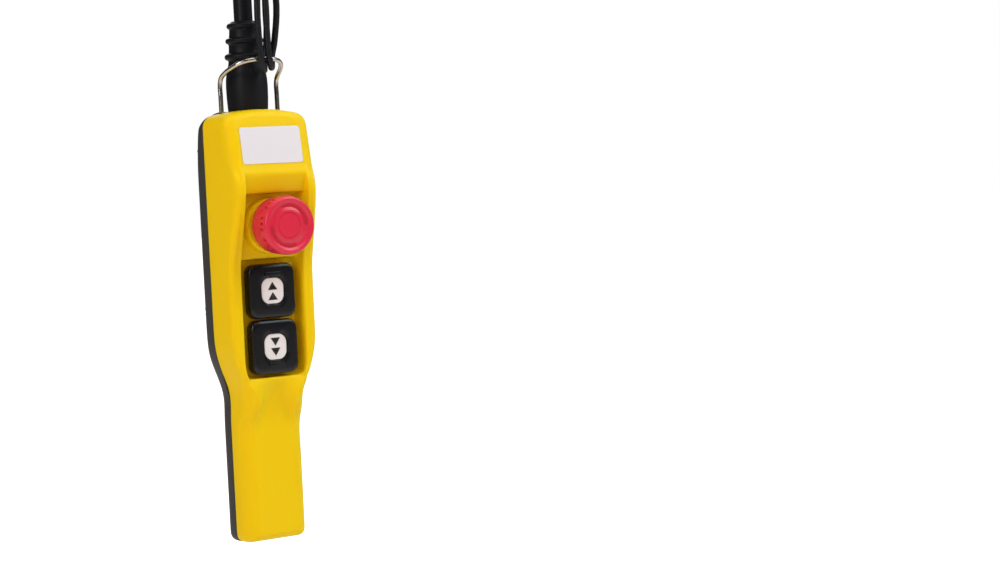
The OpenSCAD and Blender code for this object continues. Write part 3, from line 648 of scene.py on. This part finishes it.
# %% The rear shell
rear_columns = [0, 6, 12, 17, 21, 24, 27, 29.5, 31, 32]
rear_rows = [0, 1.5, 4, 8, 14, 20, 30, 45, 60, 75, 88, 96, 104, 112, 120, 128, 136, 146, 155, 165, 178, 192,
             206, 220, 234, 248, 258, 266, 274, 281, 286, 291, 295, 297, 298]
REAR_DEPTH = in_housing("rear_shell")[1].y
REAR_END_RADII = (6.0, 12.0)
rear_bm = bmesh.new()
n_across, n_up = 2 * (len(rear_columns) - 1), len(rear_rows) - 1
bmesh.ops.create_grid(rear_bm, x_segments=n_across, y_segments=n_up, size=1)
rear_border = {}
for vert in rear_bm.verts:
    i, j = round((vert.co.x + 1) / 2 * n_across), round((vert.co.y + 1) / 2 * n_up)
    across = math.copysign(rear_columns[abs(i - n_across // 2)] / rear_columns[-1], i - n_across / 2)
    if vert.is_boundary:
        rear_border[vert] = (across, rear_rows[j], -REAR_DEPTH)
    x, z = edge_place(across, rear_rows[j], 0, 1, 0, REAR_END_RADII, rear_radius)
    vert.co = (x, REAR_DEPTH, z)
extrude_rings(rear_bm, rear_border, [
    (ROUND_45, lambda face, r: face + ROUND_45 * r, 0),
    (0, lambda face, r: face + r, 0),
    (0, lambda face, r: 0.45 * (face + r), 0),
    (0, lambda face, r: -1.1, 0),
    (0, lambda face, r: -0.35, 0.12),
    (0, lambda face, r: -0.06, 0.5),
], REAR_END_RADII, rear_radius)
rear_bm = subdivided(rear_bm, 2)
WELL_R, WELL_FLOOR = 3.6, 9.0
for x, z in ((29.5, 270), (30, 160), (18, 14)):
    for x_well in (-x, x):
        rim = open_hole(rear_bm, x_well, REAR_DEPTH - 1.5, z, WELL_R)
        ring = [e for e in rear_bm.edges if e.is_boundary and e.verts[0] in rim and e.verts[1] in rim]
        for depth, radius in ((WELL_FLOOR, WELL_R), (WELL_FLOOR, 2.1)):
            made = bmesh.ops.extrude_edge_only(rear_bm, edges=ring)["geom"]
            for vert in verts_of(made):
                grow = radius / math.hypot(vert.co.x - x_well, vert.co.z - z)
                vert.co = (x_well + (vert.co.x - x_well) * grow, depth, z + (vert.co.z - z) * grow)
            ring = open_edges_of(made)
rear = add_piece(rear_bm, "rear_moulding", "dark_shell", "housing", "rear_shell", sharp=50)
rear_wall = rear.modifiers.new("wall", "SOLIDIFY")
rear_wall.thickness, rear_wall.offset = 0.0018, -1
print("rear moulding:", len(rear.data.polygons), "faces before its wall")

# %% [markdown]
# ## Turned pieces
#
# The boot, the collar and the mushroom head are round, so each is an outline spun about an
# axis. The outline's corners are softened first, because a moulded edge is never quite sharp.

# %% Spin an outline
def soften(outline, cut):
    """Rounds the corners of an open outline by cutting them twice."""
    for amount in (cut, cut / 2.6):
        softer = [outline[0]]
        for a, b, c in zip(outline, outline[1:], outline[2:]):
            to_a, to_c = Vector(a) - Vector(b), Vector(c) - Vector(b)
            for way in (to_a, to_c):
                softer.append(tuple(Vector(b) + way * min(amount / way.length, 0.38)))
        softer.append(outline[-1])
        outline = softer
    return outline


def turned(outline, centre, upright=False, steps=96):
    """An outline of (radius, distance) spun about Z when upright, or else about the front's direction."""
    bm = bmesh.new()
    axis = Vector((0, 0, 1)) if upright else Vector((0, -1, 0))
    verts = [bm.verts.new(Vector(centre) + Vector((r, 0, 0)) + axis * d) for r, d in outline]
    edges = [bm.edges.new(pair) for pair in zip(verts, verts[1:])]
    bmesh.ops.spin(bm, geom=verts + edges, cent=centre, axis=axis, angle=2 * math.pi, steps=steps,
                   use_merge=True)
    return bm


# %% [markdown]
# The rubber boot is a wide bell on top of the head. Above the bell it narrows in a cone that
# carries three strain-relief rings, each a full round bead.

# %% The cable boot
CABLE_CENTRE = (0, -CABLE_Y, 0)
boot_outline = [
    (6.7, 296), (13.6, 296), (13.9, 300), (14.25, 306), (14.4, 314), (14.2, 319), (13.6, 323.4),
    (12.6, 327.2), (11.9, 330), (11.7, 331.8), (12.3, 332.5), (13.7, 332.9), (14.3, 334.3),
    (14.1, 335.8), (12.9, 336.7), (11.3, 337), (11.05, 340), (11.0, 343), (11.6, 343.6), (12.7, 344),
    (13.2, 345.3), (13, 346.6), (12, 347.3), (10.6, 347.6), (10.3, 350.4), (10.1, 353.3), (10.6, 353.9),
    (11.5, 354.3), (11.9, 355.6), (11.6, 356.8), (10.7, 357.5), (9.3, 357.9), (8.4, 358.9), (6.7, 359),
]
boot_bm = turned(soften(boot_outline, 0.35), CABLE_CENTRE, upright=True, steps=72)
add_piece(boot_bm, "boot_moulding", "rubber", "housing", "cable_boot", sharp=75)
print("boot from", boot_outline[0][1], "to", boot_outline[-1][1], "mm")

# %% [markdown]
# The stop button sits in a collar. Its mushroom head has a band of small slots in groups of
# three round the rim, for grip, a dished face, a raised ring and a flat middle. Each slot is one
# step of the spun rim whose points are pushed inwards. The steps are counted in sixteens, and
# three of each sixteen are pushed, which makes eight groups of three.

# %% The collar and the mushroom head
collar_outline = [
    (11.2, 0.2), (19.2, 0.0), (19.1, 3.4), (18.75, 5.2), (18.1, 5.95), (17.2, 6.0), (14.2, 6.0),
    (13.7, 5.8), (13.6, 5.2), (11.2, 5.2),
]
collar_bm = turned(soften(collar_outline, 0.3), (0, -PANEL_DEPTH, STOP_Z))
add_piece(collar_bm, "stop_collar", "yellow_shell", "housing", "estop_collar", sharp=70)

HEAD_REAR = -in_housing("estop_head")[1].y
RIM_R, FACE_DISH = 20.0, 18.0
head_outline = [
    (0, 14.3), (6.1, 14.3), (6.1, 6.5), (15.5, 6.5), (15.6, 0.4), (16.1, 0), (18, 0), (19, 0.8),
    (19.4, 4), (19.6, 7), (19.8, 10.4), (19.8, 11.4), (RIM_R, 11.9), (RIM_R, 12.5), (RIM_R, 15.0),
    (RIM_R, 15.6), (RIM_R, 16.5), (19.85, 17.6), (19.35, 18.6), (18.5, 19.15), (17.4, 19.3),
    (16.7, 19.05), (16.2, 18.5), (15.7, 18.12), (15, FACE_DISH), (12.1, FACE_DISH), (11.9, 18.22),
    (9.0, 18.26), (8.8, 17.95), (8.5, 17.95), (8.3, 18.3), (0, 18.35),
]
SLOT_STEPS, SLOT_GROUP, SLOT_PLACES, SLOT_DEPTH = 128, 16, (10, 14, 2), 2.4
head_bm = turned(head_outline, (0, -HEAD_REAR, STOP_Z), steps=SLOT_STEPS)
pushed = 0
for vert in head_bm.verts:
    forward = -vert.co.y - HEAD_REAR
    radius = math.hypot(vert.co.x, vert.co.z - STOP_Z)
    turn = math.degrees(math.atan2(vert.co.z - STOP_Z, vert.co.x)) / 360
    step = round(turn * SLOT_STEPS) % SLOT_GROUP
    if 12.2 < forward < 15.3 and radius > 19 and step in SLOT_PLACES:
        grow = (radius - SLOT_DEPTH) / radius
        vert.co.x *= grow
        vert.co.z = STOP_Z + (vert.co.z - STOP_Z) * grow
        pushed += 1
add_piece(head_bm, "stop_mushroom", "stop_red", "stop_head", "estop_head", sharp=48)
print("rim slots:", pushed // 2)

# %% [markdown]
# Two arrows in low relief run round the dished face and say which way the head turns. Each is
# a small section spun part of the way round, and its head is a flat triangle that is raised.
# Their finish is a deeper red, which is painted shade: the relief is moulded in the face's red, and the
# darker red stands for the shade that falls on it.

# %% The arrows on the head
# painted shade: this darker red stands for the shading on the raised arrows, not for a colour of their own
painted_shade_red = finish("stop_relief", (0.50, 0.012, 0.036), 0.3, grain=0.004, grain_size=0.5)
arrows_bm = bmesh.new()
ARROW_R, ARROW_W, ARROW_RISE = 13.7, 2.2, 0.34
for start in (18, 198):
    floor_y = -HEAD_REAR - FACE_DISH + 0.1
    inner_r, outer_r = ARROW_R - ARROW_W / 2, ARROW_R + ARROW_W / 2
    section = [(inner_r, 0), (outer_r, 0), (outer_r - 0.2, ARROW_RISE), (inner_r + 0.2, ARROW_RISE)]
    turn = Matrix.Rotation(math.radians(-start), 3, "Y")
    corners = [arrows_bm.verts.new(turn @ Vector((r, floor_y - rise, 0)) + Vector((0, 0, STOP_Z)))
               for r, rise in section]
    end_face = arrows_bm.faces.new(corners)
    bmesh.ops.spin(arrows_bm, geom=[end_face], cent=(0, 0, STOP_Z), axis=(0, -1, 0),
                   angle=math.radians(92), steps=28)
    tip_turn = Matrix.Rotation(math.radians(-start + 7), 3, "Y")
    tip = bmesh.ops.create_circle(arrows_bm, cap_ends=True, segments=3, radius=2.7)["verts"]
    for vert in tip:
        flat = Vector((vert.co.x, 0, vert.co.y * 1.1))
        flat = Matrix.Rotation(math.radians(180), 3, "Y") @ flat
        vert.co = tip_turn @ (flat + Vector((ARROW_R - 0.1, floor_y, 0))) + Vector((0, 0, STOP_Z))
    tip_face = next(f for f in arrows_bm.faces if set(f.verts) == set(tip))
    raised = bmesh.ops.extrude_face_region(arrows_bm, geom=[tip_face])["geom"]
    bmesh.ops.translate(arrows_bm, verts=verts_of(raised), vec=(0, -ARROW_RISE, 0))
arrows = add_piece(arrows_bm, "stop_relief_arrows", "stop_red", "stop_head", "estop_arrows", sharp=30)
# the arrows take the darker red of painted shade
arrows.data.materials[0] = painted_shade_red
print("arrow faces:", len(arrows.data.polygons))

# %% [markdown]
# ## Keys
#
# Each key is a deep square cap with soft corners. A circle of points is shaped as a square with
# round corners, and its edges are extruded again and again, each time with a slightly different
# size and depth. The rings run from the hollow underside, round the skirt and the soft edge of
# the face, and down into the window. A low bar moulded above or below the window tells a gloved
# thumb which key it is.

# %% Rings of rounded squares, and the key caps
CORNER_POINTS = 16


def square_point(index, width, height, corner):
    """The point of an outline with round corners that one of the ring's points belongs to."""
    quarter, step = divmod(index, CORNER_POINTS)
    angle = math.radians(90 * (quarter + step / (CORNER_POINTS - 1)))
    x = (width / 2 - corner) * (1 if quarter in (0, 3) else -1) + corner * math.cos(angle)
    z = (height / 2 - corner) * (1 if quarter in (0, 1) else -1) + corner * math.sin(angle)
    return x, z


def square_rings(bm, z, rings):
    """Adds a closed solid from rings of (width, height, corner radius, how far forward)."""
    first = bmesh.ops.create_circle(bm, cap_ends=True, segments=4 * CORNER_POINTS, radius=1)["verts"]
    first.sort(key=lambda v: math.atan2(v.co.y, v.co.x) % (2 * math.pi))
    index_of = {vert: i for i, vert in enumerate(first)}
    edges = list({e for v in first for e in v.link_edges})
    for number, (width, height, corner, forward) in enumerate(rings):
        if number:
            made = bmesh.ops.extrude_edge_only(bm, edges=edges)["geom"]
            edges = open_edges_of(made)
            index_of = {v: next(index_of[e.other_vert(v)] for e in v.link_edges
                                if e.other_vert(v) in index_of) for v in verts_of(made)}
        for vert, index in index_of.items():
            x, up = square_point(index, width, height, corner)
            vert.co = (x, -forward, z + up)
    bmesh.ops.edgeloop_fill(bm, edges=edges)


KEY_FACE = -in_housing("up_symbol_plate")[0].y + 0.8


def key_cap(name, z, bar_z, bar_h, body, node):
    """A key cap with a hollow underside, its window and its moulded bar."""
    bm = bmesh.new()
    f = KEY_FACE
    square_rings(bm, z, [
        (33, 33.4, 4.6, f - 2), (33, 33.4, 4.6, f - 7.5), (36.6, 37, 6.2, f - 7.5),
        (37, 37.4, 6.4, f - 6.9), (37, 37.4, 6.4, f - 3.4), (36.8, 37.2, 6.4, f - 2.2),
        (36.1, 36.5, 6.3, f - 1.2), (35, 35.4, 6.2, f - 0.5), (33.6, 34, 6.1, f - 0.15),
        (31.5, 31.9, 6, f), (24, 24.4, 7, f + 0.15), (19.3, 19.3, 6.8, f + 0.15),
        (18.9, 18.9, 6.7, f + 0.02), (18.6, 18.6, 6.6, f - 1.3),
    ])
    square_rings(bm, bar_z, [
        (12.6, bar_h, 0.6, f - 0.5), (12.6, bar_h, 0.6, f + 0.8),
        (12.3, bar_h - 0.3, 0.5, f + 1.1), (11.8, bar_h - 0.8, 0.4, f + 1.2),
    ])
    return add_piece(bm, name, "key_black", body, node, sharp=32)


key_cap("up_cap", UP_Z, UP_Z + 11.6, 2.8, "up_key", "up_key_cap")
key_cap("down_cap", DOWN_Z, DOWN_Z - 12.2, 2.4, "down_key", "down_key_cap")
print("key face", round(KEY_FACE, 2), "mm in front of the parting plane")

# %% [markdown]
# Behind the clear lens lies a white plate with two black triangles. The plate and the lens
# have the same rounded shape in two sizes, and the lens stands a little proud of the cap.

# %% Symbol plates, triangles and lenses
MARK_HALF_W, MARK_HALF_H, MARK_OFFSETS, MARK_RISE = 3.75, 2.75, (-3.55, 3.45), 0.1
for side, key_z, way in (("up", UP_Z, 1), ("down", DOWN_Z, -1)):
    body, f = f"{side}_key", KEY_FACE
    plate_bm = bmesh.new()
    square_rings(plate_bm, key_z, [(17.4, 17.4, 6.1, f - 1.35), (17.4, 17.4, 6.1, f - 0.85)])
    add_piece(plate_bm, f"{side}_plate", "symbol_white", body, f"{side}_symbol_plate", sharp=30)
    marks_bm = bmesh.new()
    for offset in MARK_OFFSETS:
        corners = bmesh.ops.create_circle(marks_bm, cap_ends=True, segments=3, radius=1)["verts"]
        for vert, (across, up) in zip(corners, ((0, 1), (-1, -1), (1, -1))):
            vert.co = (MARK_HALF_W * across, -f + 0.84, key_z + offset + way * MARK_HALF_H * up)
        mark = corners[0].link_faces[0]
        lifted = bmesh.ops.extrude_face_region(marks_bm, geom=[mark])["geom"]
        bmesh.ops.translate(marks_bm, verts=verts_of(lifted), vec=(0, -MARK_RISE, 0))
    add_piece(marks_bm, f"{side}_triangles", "symbol_black", body, f"{side}_arrows", sharp=30)
    lens_bm = bmesh.new()
    square_rings(lens_bm, key_z, [
        (18.3, 18.3, 6.5, f - 0.7), (18.3, 18.3, 6.5, f + 0.1), (18.1, 18.1, 6.4, f + 0.45),
        (17.5, 17.5, 6.1, f + 0.6), (16.4, 16.4, 5.6, f + 0.7),
    ])
    add_piece(lens_bm, f"{side}_clear_lens", "clear_lens", body, f"{side}_lens", sharp=25)
print("plates, triangles and lenses made")

# %% [markdown]
# ## Label and bail
#
# The label is a thin foil plate that lies in the hood's slope. The bail is a bent steel wire,
# so a curve with a round section draws it. Its two legs go down into the head, where anchor
# plates hold them.

# %% The label
LABEL_TILT = math.radians(8.3)
LABEL_CENTRE = Vector((0, -31.3, 273))
label_bm = bmesh.new()
square_rings(label_bm, 0, [(48, 25.4, 2.2, -0.5), (48, 25.4, 2.2, 0.33), (47.76, 25.16, 2.1, 0.45)])
bmesh.ops.transform(label_bm, verts=label_bm.verts,
                    matrix=Matrix.Translation(LABEL_CENTRE) @ Matrix.Rotation(-LABEL_TILT, 4, "X"))
add_piece(label_bm, "label_foil", "label", "housing", "label_plate", sharp=30)
print("label centre", [round(v, 1) for v in LABEL_CENTRE])

# %% The bail
bail_half = [
    (22.6, 6, 284.5), (22.6, 6, 293), (22.6, 6, 300), (22.6, 6, 308), (22.6, 6, 316), (22.5, 7.6, 320),
    (21.8, 11.6, 323.2), (19.8, 17.4, 326.4), (15.5, 23.4, 329.6), (9.6, 27.2, 331.2), (3, 28.8, 331.8),
]
bail_line = bail_half + [(-x, forward, z) for x, forward, z in reversed(bail_half)]
cord_curve("bail_wire", bail_line, 1.6, "bail_wire", "housing", "suspension_bail")
print("bail wire", round(run_length(bail_line), 3), "m")
